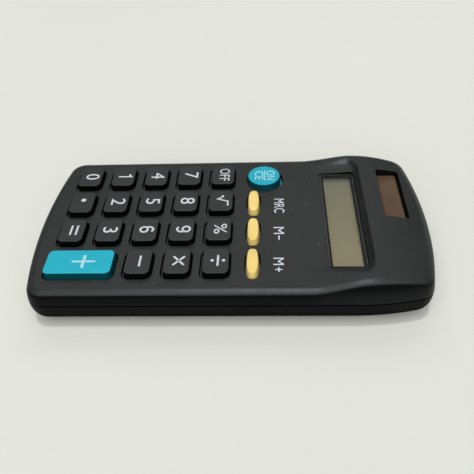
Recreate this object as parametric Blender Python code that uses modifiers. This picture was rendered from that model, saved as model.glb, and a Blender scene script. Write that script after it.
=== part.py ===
"""A pocket calculator with 23 rubber-sprung keys, a raised display end and a sliding battery door.

Frame: the origin is on the floor under the middle of the case, +X is the calculator's right,
+Y points to its display end and +Z up. Lengths are in metres.
"""

import math

import bmesh
import bpy
from mathutils import Matrix, Vector

MM = 0.001

# Case, seen from above
CASE_WIDTH = 65.2 * MM
CASE_LENGTH = 123.2 * MM
BOTTOM_ARC = 157 * MM
TOP_ARC = 115 * MM
BOTTOM_CORNER = 5.5 * MM
TOP_CORNER = 5.5 * MM
LEAST_CORNER = 1.2 * MM
WAIST_ARC = 80 * MM
WAIST_START = 36 * MM

# Case, in section
SEAM = 9 * MM
SEAM_GAP = 0.3 * MM
FACE = 13.7 * MM
WALL = 1.8 * MM
LOWER_ROUND = 7.4 * MM
LOWER_WALL = 2.9 * MM
FLOOR = 1.4 * MM
LIP_HEIGHT = 1.1 * MM
LIP_INSET = 2.1 * MM
FIT = 0.3 * MM

# The raised display end
HUMP_FOOT = 22.8 * MM
HUMP_TOP = 41 * MM
HUMP_RISE = 2.8 * MM
HUMP_FALL = 17.4 * MM
HUMP_LEAN = 0.45

# Keys
COLUMN_PITCH = 13.86 * MM
ROW_PITCH = 11.4 * MM
FIRST_ROW = 7.65 * MM
KEY_SIZE = (10.3 * MM, 7.65 * MM)
KEY_CORNER = 1.7 * MM
PLUS_SIZE = (9.8 * MM, 20 * MM)
PLUS_SHIFT = 0.45 * MM
OVAL_SIZE = (9.9 * MM, 3.4 * MM)
OVAL_ROW = 6.8 * MM
ON_RADIUS = 5.35 * MM
ON_PLACE = (-20.1 * MM, 10.1 * MM)
KEY_TOP = 15.6 * MM
KEY_FOOT = 10.4 * MM
KEY_DRAFT = 0.25 * MM
KEY_EDGE = 0.35 * MM
KEY_GAP = 0.44 * MM
FLANGE_WIDTH = 0.45 * MM
FLANGE_HEIGHT = 1.1 * MM

# Display and solar cell windows: (middle x, middle y, width, depth)
DISH = (0, 31 * MM, 46.4 * MM, 20.6 * MM)
DISH_FLOOR = 14.6 * MM
DISH_SLOPE = 0.025
DISH_CORNER = 3 * MM
DISH_WALL = ((0, 0), (0.9 * MM, 0.35 * MM), (1.9 * MM, 1.3 * MM), (3 * MM, 3 * MM))
STEP = (0.15 * MM, 34.4 * MM, 45.4 * MM, 11.8 * MM)
STEP_CORNER = 1.5 * MM
STEP_FLOOR = 13.75 * MM
OPENING = (0.5 * MM, 34.6 * MM, 43 * MM, 9.4 * MM)
OPENING_CORNER = 1 * MM
POCKET = (0, 34.4 * MM, 46.8 * MM, 15 * MM)
POCKET_TOP = 13.25 * MM
DISPLAY_FRAME = (0, 34.5 * MM, 50 * MM, 17.4 * MM)
DISPLAY_FRAME_FOOT = 11.2 * MM
SOLAR_OPENING = (-9.9 * MM, 50.75 * MM, 24.2 * MM, 6.5 * MM)
SOLAR_CORNER = 0.8 * MM
SOLAR_LEAN = 1.3 * MM
SOLAR_FRAME = (-10.1 * MM, 51.1 * MM, 27.8 * MM, 10.2 * MM)
SOLAR_POCKET = (-10.1 * MM, 51.1 * MM, 27.4 * MM, 9.8 * MM)
SOLAR_FRAME_FOOT = 13.4 * MM
LENS_LIFT = 0.25 * MM
LENS_THICK = 0.5 * MM

# Inside
BOARD_HALF_WIDTH = 25 * MM
BOARD_ENDS = (-53.6 * MM, 41.8 * MM)
BOARD_BOTTOM = 7 * MM
BOARD_TOP = 8.2 * MM
MAT_HALF_WIDTH = 24.8 * MM
MAT_ENDS = (-53.4 * MM, 14.6 * MM)
MAT_BOTTOM = 8.5 * MM
MAT_TOP = 9.1 * MM
DOME_TOP = 10.1 * MM
DOME_RADII = (3.2 * MM, 1.7 * MM)
DOME_WALL = 0.5 * MM
LCD_TOP = 13 * MM
LCD_THICK = 1.9 * MM
CONNECTOR = (0, 39.4 * MM, 39 * MM, 2 * MM)
SOLAR_CELL_BOTTOM = 12.6 * MM
PIN_RADIUS = 0.7 * MM
PIN_HEAD = (1.3 * MM, 0.8 * MM)
PIN_FAR_ROW = 20 * MM
COVER_PLACE = (0, 6 * MM)
COVER_PROFILE = ((0, 0), (5 * MM, 0), (4.4 * MM, -0.8 * MM), (2.6 * MM, -1.4 * MM), (0, -1.6 * MM))
CAPACITOR_PLACE = (12 * MM, 28 * MM, 4.6 * MM)
CAPACITOR = (2 * MM, 6 * MM, 0.2 * MM)
DIODE_PLACE = (-12 * MM, 28 * MM, 5.7 * MM)
DIODE = (0.9 * MM, 3.6 * MM)
DIODE_LEAD = (0.3 * MM, 8 * MM)
SCREW_PLACES = (
    (-9 * MM, -56.05 * MM),
    (9 * MM, -56.05 * MM),
    (-28.2 * MM, 40.6 * MM),
    (28.2 * MM, 40.6 * MM),
)
BOSS_RADIUS = 1.8 * MM
BOSS_MEET = 10.1 * MM
SCREW_RADIUS = 0.7 * MM
SCREW_HEAD_RADIUS = 1.7 * MM
SCREW_HEAD_FOOT = 1.4 * MM
SCREW_HEAD_HEIGHT = 1.1 * MM
SCREW_TOP = 12.2 * MM

# Battery bay across the back, under the solar cell
CELL_RADIUS = 5.25 * MM
CELL_LENGTH = 43.3 * MM
CELL_NUB = (1.9 * MM, 1.2 * MM)
CELL_PLACE = (-0.6 * MM, 49.6 * MM, 7 * MM)
BAY_RIB = 43.1 * MM
BAY_END = (25.8 * MM, 26.8 * MM, 56 * MM, 11 * MM)
DOOR_HALF_WIDTH = 24.3 * MM
DOOR_FRONT = 44.2 * MM
DOOR_TOP = 4.4 * MM
RAIL = (22.7 * MM, 25.3 * MM, 46 * MM, 54 * MM)
RAIL_THICK = 0.9 * MM
GROOVE = (10 * MM, 0.7 * MM, 0.3 * MM)
GROOVE_START = 47.6 * MM
GROOVE_PITCH = 1.6 * MM
CONTACT = (25.1 * MM, 25.5 * MM)
CONTACT_HALF_WIDTH = 3.6 * MM
CONTACT_HEIGHTS = (3.2 * MM, 11 * MM)
SPRING_RADII = (3.2 * MM, 2.1 * MM)
SPRING_ENDS = (-24.4 * MM, -22.9 * MM)
SPRING_TURNS = 3
SPRING_WIRE = 0.22 * MM

# Wires, by their middles
BATTERY_WIRE = (24.2 * MM, 46.4 * MM, 40.6 * MM, 8.9 * MM)
BATTERY_WIRE_RADIUS = 0.5 * MM
SOLAR_WIRE_RADIUS = 0.35 * MM
SOLAR_WIRE_PLUS = (
    (-23 * MM, 47.2 * MM, 12.05 * MM),
    (-23 * MM, 44.7 * MM, 11.4 * MM),
    (-22.7 * MM, 43.8 * MM, 10.1 * MM),
    (-21.2 * MM, 41.3 * MM, 8.9 * MM),
)
SOLAR_WIRE_MINUS = (
    (-23 * MM, 48.9 * MM, 12.05 * MM),
    (-24.3 * MM, 48.6 * MM, 12 * MM),
    (-24.6 * MM, 44.8 * MM, 11.5 * MM),
    (-24.3 * MM, 43.8 * MM, 10.7 * MM),
    (-22.6 * MM, 41.3 * MM, 8.9 * MM),
)

# Cutters reach past what they cut
BELOW = -1 * MM
ABOVE = 18 * MM
FAR_ABOVE = 30 * MM
BEYOND_END = 70 * MM

CIRCLE_STEPS = 12


def clear_scene():
    for obj in list(bpy.data.objects):
        bpy.data.objects.remove(obj, do_unlink=True)


def new_collection(name):
    collection = bpy.data.collections.new(name)
    bpy.context.scene.collection.children.link(collection)
    return collection


def material(name, colour, roughness, metallic=0.0):
    made = bpy.data.materials.new(name)
    made.use_nodes = True
    shader = made.node_tree.nodes["Principled BSDF"]
    shader.inputs["Base Color"].default_value = (*colour, 1)
    shader.inputs["Roughness"].default_value = roughness
    shader.inputs["Metallic"].default_value = metallic
    return made


def add_object(name, mesh, surface=None, place=(0, 0, 0), smooth=True):
    """A part of the calculator if it has a material, or a cutter if it has none."""
    obj = bpy.data.objects.new(name, mesh)
    obj.location = place
    if surface is None:
        CUTTERS.objects.link(obj)
        obj.hide_render = True
        obj.display_type = "WIRE"
        return obj
    PARTS.objects.link(obj)
    if surface.name not in mesh.materials:
        mesh.materials.append(surface)
    if smooth:
        mesh.shade_smooth()
        mesh.set_sharp_from_angle(angle=math.radians(35))
    return obj


# Outlines, anticlockwise from above


def arc(centre, radius, start, end, steps):
    """Points and outward normals along an arc, with both ends."""
    found = []
    for i in range(steps + 1):
        angle = start + (end - start) * i / steps
        normal = Vector((math.cos(angle), math.sin(angle)))
        found.append((Vector(centre) + radius * normal, normal))
    return found


def circles_meet(centre_a, radius_a, centre_b, radius_b):
    """The meeting point of two circles that is furthest to +X."""
    between = centre_b - centre_a
    apart = between.length
    along = (apart**2 + radius_a**2 - radius_b**2) / (2 * apart)
    aside = math.sqrt(radius_a**2 - along**2)
    across = Vector((between.y, -between.x)) / apart
    foot = centre_a + between / apart * along
    return max((foot + across * aside, foot - across * aside), key=lambda point: point.x)


def angle_of(vector):
    return math.atan2(vector.y, vector.x)


def case_side(inset):
    """Points and normals up the right-hand side of the case, from its bottom end to its top end."""
    half_width = CASE_WIDTH / 2
    low = Vector((0, BOTTOM_ARC - CASE_LENGTH / 2))
    high = Vector((0, CASE_LENGTH / 2 - TOP_ARC))
    waist = Vector((half_width - WAIST_ARC, WAIST_START))
    half_width -= inset
    low_radius, high_radius, waist_radius = (r - inset for r in (BOTTOM_ARC, TOP_ARC, WAIST_ARC))
    low_turn_radius = max(BOTTOM_CORNER - inset, LEAST_CORNER)
    high_turn_radius = max(TOP_CORNER - inset, LEAST_CORNER)
    corner_x = half_width - low_turn_radius
    corner_drop = math.sqrt((low_radius - low_turn_radius) ** 2 - corner_x**2)
    low_corner = Vector((corner_x, low.y - corner_drop))
    high_corner = circles_meet(
        waist, waist_radius - high_turn_radius, high, high_radius - high_turn_radius
    )
    low_turn = angle_of(low_corner - low)
    waist_turn = angle_of(high_corner - waist)
    high_turn = angle_of(high_corner - high)
    side = arc(low, low_radius, -math.pi / 2, low_turn, 4)
    side += arc(low_corner, low_turn_radius, low_turn, 0, 5)[1:]
    steps = 5
    for i in range(steps):
        y = HUMP_FOOT + (WAIST_START - HUMP_FOOT) * i / steps
        side.append((Vector((half_width, y)), Vector((1, 0))))
    side += arc(waist, waist_radius, 0, waist_turn, 6)
    side += arc(high_corner, high_turn_radius, waist_turn, high_turn, 5)[1:]
    side += arc(high, high_radius, high_turn, math.pi / 2, 4)[1:]
    return side


def case_ring(inset, height, lean=0):
    """The case's outline moved in by inset, at height(y), and moved in further on the raised end."""
    right = []
    for point, normal in case_side(inset):
        moved = point - normal * lean * max(hump(point.y), 0)
        right.append(Vector((moved.x, moved.y, height(moved.y))))
    left = [Vector((-p.x, p.y, p.z)) for p in reversed(right[1:-1])]
    return right + left


def rounded_rectangle(width, depth, radius, steps=2):
    points = []
    for turn, (sx, sy) in enumerate(((1, -1), (1, 1), (-1, 1), (-1, -1))):
        centre = (sx * (width / 2 - radius), sy * (depth / 2 - radius))
        start = math.pi / 2 * (turn - 1)
        points += [p for p, _ in arc(centre, radius, start, start + math.pi / 2, steps)]
    return points


def oval(width, depth, steps=14, power=3):
    """A superellipse, a little squarer than an ellipse."""
    points = []
    for i in range(steps):
        angle = 2 * math.pi * i / steps
        c, s = math.cos(angle), math.sin(angle)
        x = width / 2 * math.copysign(abs(c) ** (2 / power), c)
        y = depth / 2 * math.copysign(abs(s) ** (2 / power), s)
        points.append(Vector((x, y)))
    return points


def lifted(outline, height, place=(0, 0)):
    return [Vector((p.x + place[0], p.y + place[1], height)) for p in outline]


# Solids


def loft_into(bm, rings, ladder=False):
    """A closed solid through rings with the same number of points, from the bottom one up.

    With ladder, the top is filled with strips across from right to left, so that it can be curved.
    """
    verts = [[bm.verts.new(point) for point in ring] for ring in rings]
    count = len(rings[0])
    for low, high in zip(verts, verts[1:]):
        for i in range(count):
            j = (i + 1) % count
            bm.faces.new((low[i], low[j], high[j], high[i]))
    bm.faces.new(reversed(verts[0]))
    top = verts[-1]
    if not ladder:
        bm.faces.new(top)
        return
    for i in range(count // 2):
        strip = [top[i], top[i + 1], top[-(i + 1)], top[-i]]
        bm.faces.new(list(dict.fromkeys(strip)))


def loft(name, rings, surface=None, ladder=False):
    return add_object(name, loft_mesh(name, [rings], ladder), surface)


def loft_mesh(name, solids, ladder=False):
    """One mesh of separate lofts."""
    bm = bmesh.new()
    for rings in solids:
        loft_into(bm, rings, ladder)
    mesh = bpy.data.meshes.new(name)
    bm.to_mesh(mesh)
    bm.free()
    return mesh


def box(name, low, high, surface=None):
    bm = bmesh.new()
    size = Vector(high) - Vector(low)
    middle = (Vector(high) + Vector(low)) / 2
    matrix = Matrix.Translation(middle) @ Matrix.Diagonal((*size, 1))
    bmesh.ops.create_cube(bm, size=1, matrix=matrix)
    mesh = bpy.data.meshes.new(name)
    bm.to_mesh(mesh)
    bm.free()
    return add_object(name, mesh, surface, smooth=False)


def window_box(name, window, foot, top, surface=None):
    x, y, width, depth = window
    low = (x - width / 2, y - depth / 2, foot)
    return box(name, low, (x + width / 2, y + depth / 2, top), surface)


def posts(name, places, radius, foot, top, surface=None, top_radius=None):
    """Upright round posts in one mesh."""
    bm = bmesh.new()
    for x, y in places:
        bmesh.ops.create_cone(
            bm,
            cap_ends=True,
            segments=CIRCLE_STEPS,
            radius1=radius,
            radius2=radius if top_radius is None else top_radius,
            depth=top - foot,
            matrix=Matrix.Translation((x, y, (foot + top) / 2)),
        )
    mesh = bpy.data.meshes.new(name)
    bm.to_mesh(mesh)
    bm.free()
    return add_object(name, mesh, surface)


def turned(name, profile, surface, place, axis="Z", steps=CIRCLE_STEPS):
    """A solid turned about an axis from (radius, height) points, down its outer side."""
    mesh = bpy.data.meshes.new(name)
    points = [(radius, 0, height) for radius, height in profile]
    edges = [(i, i + 1) for i in range(len(points) - 1)]
    mesh.from_pydata(points, edges, [])
    obj = add_object(name, mesh, surface, place)
    if axis == "X":
        obj.rotation_euler = (0, math.pi / 2, 0)
    screw = obj.modifiers.new("turn", "SCREW")
    screw.steps = steps
    screw.render_steps = steps
    screw.use_merge_vertices = True
    screw.merge_threshold = 0.00001
    screw.use_smooth_shade = True
    return obj


def wire(name, points, radius, surface, rounds=1):
    """A wire or coil through the points."""
    curve = bpy.data.curves.new(name, "CURVE")
    curve.dimensions = "3D"
    curve.bevel_depth = radius
    curve.bevel_resolution = rounds
    curve.use_fill_caps = True
    spline = curve.splines.new("POLY")
    spline.points.add(len(points) - 1)
    for spot, point in zip(spline.points, points):
        spot.co = (*point, 1)
    curve.materials.append(surface)
    obj = bpy.data.objects.new(name, curve)
    PARTS.objects.link(obj)
    return obj


def boolean(obj, other, operation="DIFFERENCE"):
    modifier = obj.modifiers.new(other.name, "BOOLEAN")
    modifier.object = other
    modifier.operation = operation
    modifier.solver = "EXACT"


# Case


def hump(y):
    """How far the display end rises above the keypad."""
    if y <= HUMP_FOOT:
        return 0
    if y >= HUMP_TOP:
        return HUMP_RISE * (1 - ((y - HUMP_TOP) / HUMP_FALL) ** 2)
    share = (y - HUMP_FOOT) / (HUMP_TOP - HUMP_FOOT)
    return HUMP_RISE * share**2 * (3 - 2 * share)


def upper_ring(inset, below_top):
    """A level of the upper case, a set distance below its curved top."""
    return case_ring(inset, lambda y: FACE + hump(y) - below_top, HUMP_LEAN)


def flat_ring(inset, height):
    return case_ring(inset, lambda y: height)


def lower_rings(inset, corner, floor, top):
    """Levels of a tray with rounded lower edges."""
    rings = []
    steps = 4
    for i in range(steps + 1):
        angle = math.pi / 2 * i / steps
        moved = inset + corner * (1 - math.sin(angle))
        rings.append(flat_ring(moved, floor + corner * (1 - math.cos(angle))))
    rings.append(flat_ring(inset, top))
    return rings


def key_outlines():
    """Each key: name, material, middle, and a function that gives its outline grown by a margin."""
    columns = [COLUMN_PITCH * (i - 1.5) for i in range(4)]
    rows = [FIRST_ROW - ROW_PITCH * i for i in range(6)]
    legends = (
        ("off", "root", "percent", "divide"),
        ("7", "8", "9", "multiply"),
        ("4", "5", "6", "minus"),
        ("1", "2", "3", None),
        ("0", "point", "equals", None),
    )

    def plain(grown):
        width, depth = (side + 2 * grown for side in KEY_SIZE)
        return rounded_rectangle(width, depth, KEY_CORNER + grown)

    def tall(grown):
        width, depth = (side + 2 * grown for side in PLUS_SIZE)
        return rounded_rectangle(width, depth, KEY_CORNER + grown)

    def flat_oval(grown):
        return oval(OVAL_SIZE[0] + 2 * grown, OVAL_SIZE[1] + 2 * grown)

    def disc(grown):
        return [p for p, _ in arc((0, 0), ON_RADIUS + grown, 0, 2 * math.pi, 20)[:-1]]

    keys = []
    for row, line in zip(rows[1:], legends):
        for x, legend in zip(columns, line):
            if legend:
                keys.append((f"key_{legend}", "black", (x, row), plain))
    plus_row = (rows[4] + rows[5]) / 2 - PLUS_SHIFT
    keys.append(("key_plus", "teal", (columns[3], plus_row), tall))
    keys.append(("key_on_clear", "teal", ON_PLACE, disc))
    for x, legend in zip(columns[1:], ("recall", "minus", "plus")):
        keys.append((f"key_memory_{legend}", "yellow", (x, OVAL_ROW), flat_oval))
    return keys


def pin_places():
    """Between the keys, where pins hold the circuit board under the upper case."""
    rows = (FIRST_ROW - 1.5 * ROW_PITCH, FIRST_ROW - 4.5 * ROW_PITCH, PIN_FAR_ROW)
    return [(side * COLUMN_PITCH, y) for y in rows for side in (-1, 1)]


def upper_cavity():
    """The hollow of the upper case. What is taken from it stays as frames and bosses in the case."""
    rings = [
        flat_ring(WALL, SEAM - 1 * MM),
        flat_ring(WALL, SEAM + LIP_HEIGHT + FIT),
        upper_ring(WALL + 0.9 * MM, WALL),
    ]
    cavity = loft("upper_cavity", rings, ladder=True)
    boolean(cavity, window_box("display_frame", DISPLAY_FRAME, DISPLAY_FRAME_FOOT, FAR_ABOVE))
    boolean(cavity, window_box("solar_frame", SOLAR_FRAME, SOLAR_FRAME_FOOT, FAR_ABOVE))
    boss_foot = BOSS_MEET + FIT
    boolean(cavity, posts("upper_bosses", SCREW_PLACES, BOSS_RADIUS, boss_foot, FAR_ABOVE))
    return cavity


def display_dish():
    """The shallow dish round the display: a sloping floor and soft walls."""
    x, y, width, depth = DISH
    rings = []
    for grown, rise in DISH_WALL:
        outline = rounded_rectangle(width + 2 * grown, depth + 2 * grown, DISH_CORNER + grown, 3)
        ring = lifted(outline, DISH_FLOOR + rise, (x, y))
        for point in ring:
            point.z += DISH_SLOPE * (point.y - y)
        rings.append(ring)
    return loft("display_dish", rings)


def window_prism(name, window, corner, foot, lean=0):
    """A window cutter with rounded corners, whose +Y wall can lean back."""
    x, y, width, depth = window
    outline = rounded_rectangle(width, depth, corner)
    low = lifted(outline, foot, (x, y))
    high = lifted(outline, ABOVE, (x, y))
    for point in high:
        if point.y > y:
            point.y += lean
    return loft(name, [low, high])


def upper_case(surface):
    rings = [
        flat_ring(0, SEAM + SEAM_GAP / 2),
        flat_ring(0.12 * MM, SEAM + 1.3 * MM),
        upper_ring(0.6 * MM, 1.35 * MM),
        upper_ring(0.95 * MM, 0.5 * MM),
        upper_ring(1.5 * MM, 0.12 * MM),
        upper_ring(2.4 * MM, 0),
    ]
    case = loft("upper_case", rings, surface, ladder=True)
    boolean(case, upper_cavity())
    boolean(case, display_dish())
    boolean(case, window_prism("display_step", STEP, STEP_CORNER, STEP_FLOOR))
    boolean(case, window_prism("display_opening", OPENING, OPENING_CORNER, SEAM))
    boolean(case, window_box("display_pocket", POCKET, SEAM, POCKET_TOP))
    boolean(case, window_prism("solar_opening", SOLAR_OPENING, SOLAR_CORNER, SEAM, SOLAR_LEAN))
    boolean(case, window_box("solar_pocket", SOLAR_POCKET, SEAM, SOLAR_FRAME_FOOT))
    holes = []
    for _, _, place, outline in key_outlines():
        hole = outline(KEY_DRAFT + KEY_GAP)
        holes.append([lifted(hole, height, place) for height in (SEAM, ABOVE)])
    boolean(case, add_object("key_openings", loft_mesh("key_openings", holes)))
    bore = SCREW_RADIUS + FIT
    boolean(case, posts("upper_bores", SCREW_PLACES, bore, SEAM, SCREW_TOP + FIT))
    head_radius, head_height = PIN_HEAD
    head_top = BOARD_BOTTOM - FIT
    head_foot = head_top - head_height
    pins = posts("board_pins", pin_places(), PIN_RADIUS, head_top - head_height / 2, FACE - WALL / 2)
    boolean(case, pins, "UNION")
    boolean(case, posts("pin_heads", pin_places(), head_radius, head_foot, head_top), "UNION")
    return case


def lower_cavity():
    """The hollow of the lower case. What is taken from it stays as ribs and bosses."""
    corner = LOWER_ROUND - LOWER_WALL
    rings = lower_rings(LOWER_WALL, corner, FLOOR, ABOVE)
    cavity = loft("lower_cavity", rings)
    boolean(cavity, posts("lower_bosses", SCREW_PLACES, BOSS_RADIUS, BELOW, SCREW_TOP))
    rib = 0.5 * MM
    low = (-CASE_WIDTH / 2, BAY_RIB - rib, BELOW)
    high = (CASE_WIDTH / 2, BAY_RIB + rib, BOARD_BOTTOM + 1 * MM)
    boolean(cavity, box("bay_rib", low, high))
    inner, outer, far, top = BAY_END
    for side, name in ((-1, "left"), (1, "right")):
        x_low, x_high = sorted((side * inner, side * outer))
        boolean(cavity, box(f"bay_end_{name}", (x_low, BAY_RIB, BELOW), (x_high, far, top)))
    return cavity


def lower_outside(name, surface=None):
    """The outside of the tray, with the lip that stands up inside the upper case."""
    rings = lower_rings(0, LOWER_ROUND, 0, SEAM - SEAM_GAP / 2)
    rings.append(flat_ring(LIP_INSET, SEAM - SEAM_GAP / 2))
    rings.append(flat_ring(LIP_INSET, SEAM + LIP_HEIGHT))
    return loft(name, rings, surface)


def door_block(name, gap):
    """The block of space that the battery door takes at the back of the tray."""
    half = DOOR_HALF_WIDTH - gap
    return box(name, (-half, DOOR_FRONT + gap, BELOW), (half, BEYOND_END, DOOR_TOP - gap))


def lower_case(surface):
    case = lower_outside("lower_case", surface)
    boolean(case, lower_cavity())
    inner, outer, front, _ = RAIL
    channel_foot = FLOOR
    channel_top = FLOOR + RAIL_THICK + 2 * FIT
    for side, name in ((-1, "left"), (1, "right")):
        x_low, x_high = sorted((side * (inner - FIT), side * (outer + FIT)))
        low = (x_low, front - FIT, channel_foot)
        boolean(case, box(f"rail_channel_{name}", low, (x_high, BEYOND_END, channel_top)))
    boolean(case, door_block("door_opening", 0))
    boolean(case, posts("lower_bores", SCREW_PLACES, SCREW_RADIUS + FIT, BELOW, ABOVE))
    sink = SCREW_HEAD_RADIUS + FIT
    sink_top = SCREW_HEAD_FOOT + SCREW_HEAD_HEIGHT + FIT
    boolean(case, posts("screw_sinks", SCREW_PLACES, sink, 1.5 * BELOW, sink_top))
    return case


def battery_door(surface):
    door = lower_outside("battery_door", surface)
    boolean(door, door_block("door_outside", FIT), "INTERSECT")
    thinned = 1 * MM
    corner = LOWER_ROUND - LOWER_WALL + thinned
    boolean(door, loft("door_hollow", lower_rings(LOWER_WALL - thinned, corner, FLOOR, ABOVE)))
    inner, outer, front, back = RAIL
    rail_foot = FLOOR + FIT
    overlap = 0.5 * MM
    for side, name in ((-1, "left"), (1, "right")):
        x_low, x_high = sorted((side * inner, side * (DOOR_HALF_WIDTH - FIT)))
        low = (x_low, front, FLOOR - overlap)
        high = (x_high, back, rail_foot + overlap)
        boolean(door, box(f"rail_web_{name}", low, high), "UNION")
        x_low, x_high = sorted((side * inner, side * outer))
        rail = box(f"rail_{name}", (x_low, front, rail_foot), (x_high, back, rail_foot + RAIL_THICK))
        boolean(door, rail, "UNION")
    length, width, sunk = GROOVE
    for i in range(3):
        y = GROOVE_START + GROOVE_PITCH * i
        low = (-length / 2, y, BELOW)
        boolean(door, box(f"thumb_groove_{i}", low, (length / 2, y + width, sunk)))
    return door


# Keys and what lies under them


def add_keys(surfaces):
    flange_top = KEY_FOOT + FLANGE_HEIGHT
    for name, colour, (x, y), outline in key_outlines():
        flange = outline(KEY_DRAFT + FLANGE_WIDTH)
        skirt = outline(KEY_DRAFT)
        rings = [
            lifted(flange, KEY_FOOT - KEY_TOP),
            lifted(flange, flange_top - KEY_TOP),
            lifted(skirt, flange_top - KEY_TOP),
            lifted(skirt, FACE - KEY_TOP),
            lifted(outline(0), -KEY_EDGE),
            lifted(outline(-KEY_EDGE), 0),
        ]
        key = loft(name, rings, surfaces[colour])
        key.location = (x, y, KEY_TOP)


def key_mat(surface):
    """A rubber sheet with a hollow dome under each key."""
    near, far = MAT_ENDS
    low = (-MAT_HALF_WIDTH, near, MAT_BOTTOM)
    mat = box("key_mat", low, (MAT_HALF_WIDTH, far, MAT_TOP), surface)
    places = [place for _, _, place, _ in key_outlines()]
    foot_radius, top_radius = DOME_RADII
    dome_foot = MAT_BOTTOM + 0.1 * MM
    domes = posts("domes", places, foot_radius, dome_foot, DOME_TOP, None, top_radius)
    boolean(mat, domes, "UNION")
    hollow_foot = MAT_BOTTOM - 0.2 * MM
    hollow_top = DOME_TOP - DOME_WALL
    foot_radius, top_radius = foot_radius - DOME_WALL, top_radius - 0.7 * MM
    hollows = posts("dome_hollows", places, foot_radius, hollow_foot, hollow_top, None, top_radius)
    boolean(mat, hollows)
    near_pins = [place for place in pin_places() if place[1] < far]
    pin_hole = PIN_RADIUS + FIT
    boolean(mat, posts("mat_holes", near_pins, pin_hole, MAT_BOTTOM - 1 * MM, MAT_TOP + 1 * MM))
    return mat


def circuit_board(surface):
    near, far = BOARD_ENDS
    low = (-BOARD_HALF_WIDTH, near, BOARD_BOTTOM)
    board = box("circuit_board", low, (BOARD_HALF_WIDTH, far, BOARD_TOP), surface)
    pin_hole = PIN_RADIUS + FIT
    foot, top = BOARD_BOTTOM - 1 * MM, BOARD_TOP + 1 * MM
    boolean(board, posts("board_holes", pin_places(), pin_hole, foot, top))
    return board


def board_parts(surfaces):
    cover_place = (*COVER_PLACE, BOARD_BOTTOM - FIT)
    turned("chip_cover", COVER_PROFILE, surfaces["resin"], cover_place, steps=16)
    radius, length, soft = CAPACITOR
    end = length / 2
    can = [
        (0, end),
        (radius - soft, end),
        (radius, end - soft),
        (radius, 2 * soft - end),
        (radius - soft, -end),
        (0, -end),
    ]
    turned("capacitor", can, surfaces["tin"], CAPACITOR_PLACE, "X")
    radius, length = DIODE
    lead_radius, lead_length = DIODE_LEAD
    half = [(radius, length / 2), (lead_radius, length / 2), (lead_radius, lead_length / 2)]
    half.append((0, lead_length / 2))
    bead = half[::-1] + [(radius, -height) for radius, height in half]
    turned("diode", bead, surfaces["glass"], DIODE_PLACE, "X", 8)


# Display, solar cell and battery


def display_parts(surfaces):
    x, y, width, depth = STEP
    outline = rounded_rectangle(width - 2 * FIT, depth - 2 * FIT, STEP_CORNER - FIT)
    foot = STEP_FLOOR + LENS_LIFT
    rings = [lifted(outline, height, (x, y)) for height in (foot, foot + LENS_THICK)]
    loft("display_window", rings, surfaces["clear"])
    x, y, width, depth = POCKET
    panel = (x, y, width - 2 * FIT, depth - 2 * FIT)
    window_box("lcd_panel", panel, LCD_TOP - LCD_THICK, LCD_TOP, surfaces["lcd"])
    strip_top = LCD_TOP - LCD_THICK - FIT
    window_box("lcd_connector", CONNECTOR, BOARD_TOP + FIT, strip_top, surfaces["rubber"])
    x, y, width, depth = SOLAR_POCKET
    cell = (x, y, width - 2 * FIT, depth - 2 * FIT)
    cell_top = SOLAR_FRAME_FOOT - FIT
    window_box("solar_cell", cell, SOLAR_CELL_BOTTOM, cell_top, surfaces["solar"])


def battery_parts(surfaces):
    half = CELL_LENGTH / 2
    nub_radius, nub_height = CELL_NUB
    profile = [
        (0, half + nub_height),
        (nub_radius, half + nub_height),
        (nub_radius, half),
        (CELL_RADIUS, half),
        (CELL_RADIUS, -half),
        (0, -half),
    ]
    turned("battery_cell", profile, surfaces["cell"], CELL_PLACE, "X", 20)
    _, y, z = CELL_PLACE
    inner, outer = CONTACT
    foot, top = CONTACT_HEIGHTS
    for side, name in ((-1, "minus"), (1, "plus")):
        x_low, x_high = sorted((side * inner, side * outer))
        low = (x_low, y - CONTACT_HALF_WIDTH, foot)
        box(f"contact_{name}", low, (x_high, y + CONTACT_HALF_WIDTH, top), surfaces["tin"])
    per_turn = 9
    count = SPRING_TURNS * per_turn
    start, end = SPRING_ENDS
    first_radius, last_radius = SPRING_RADII
    points = []
    for i in range(count + 1):
        share = i / count
        angle = 2 * math.pi * i / per_turn
        radius = first_radius + (last_radius - first_radius) * share
        x = start + (end - start) * share
        points.append((x, y + radius * math.cos(angle), z + radius * math.sin(angle)))
    wire("battery_spring", points, SPRING_WIRE, surfaces["tin"])


def add_wires(surfaces):
    x, near, far, z = BATTERY_WIRE
    for side, name in ((-1, "minus"), (1, "plus")):
        ends = [(side * x, near, z), (side * x, far, z)]
        wire(f"battery_wire_{name}", ends, BATTERY_WIRE_RADIUS, surfaces[name])
    wire("solar_wire_plus", SOLAR_WIRE_PLUS, SOLAR_WIRE_RADIUS, surfaces["plus"])
    wire("solar_wire_minus", SOLAR_WIRE_MINUS, SOLAR_WIRE_RADIUS, surfaces["minus"])


def add_screws(surface):
    profile = [
        (0, SCREW_TOP),
        (SCREW_RADIUS, SCREW_TOP),
        (SCREW_RADIUS, SCREW_HEAD_FOOT + SCREW_HEAD_HEIGHT),
        (SCREW_HEAD_RADIUS, SCREW_HEAD_FOOT + SCREW_HEAD_HEIGHT),
        (SCREW_HEAD_RADIUS, SCREW_HEAD_FOOT),
        (0, SCREW_HEAD_FOOT),
    ]
    for i, (x, y) in enumerate(SCREW_PLACES):
        turned(f"screw_{i + 1}", profile, surface, (x, y, 0), steps=8)


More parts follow.
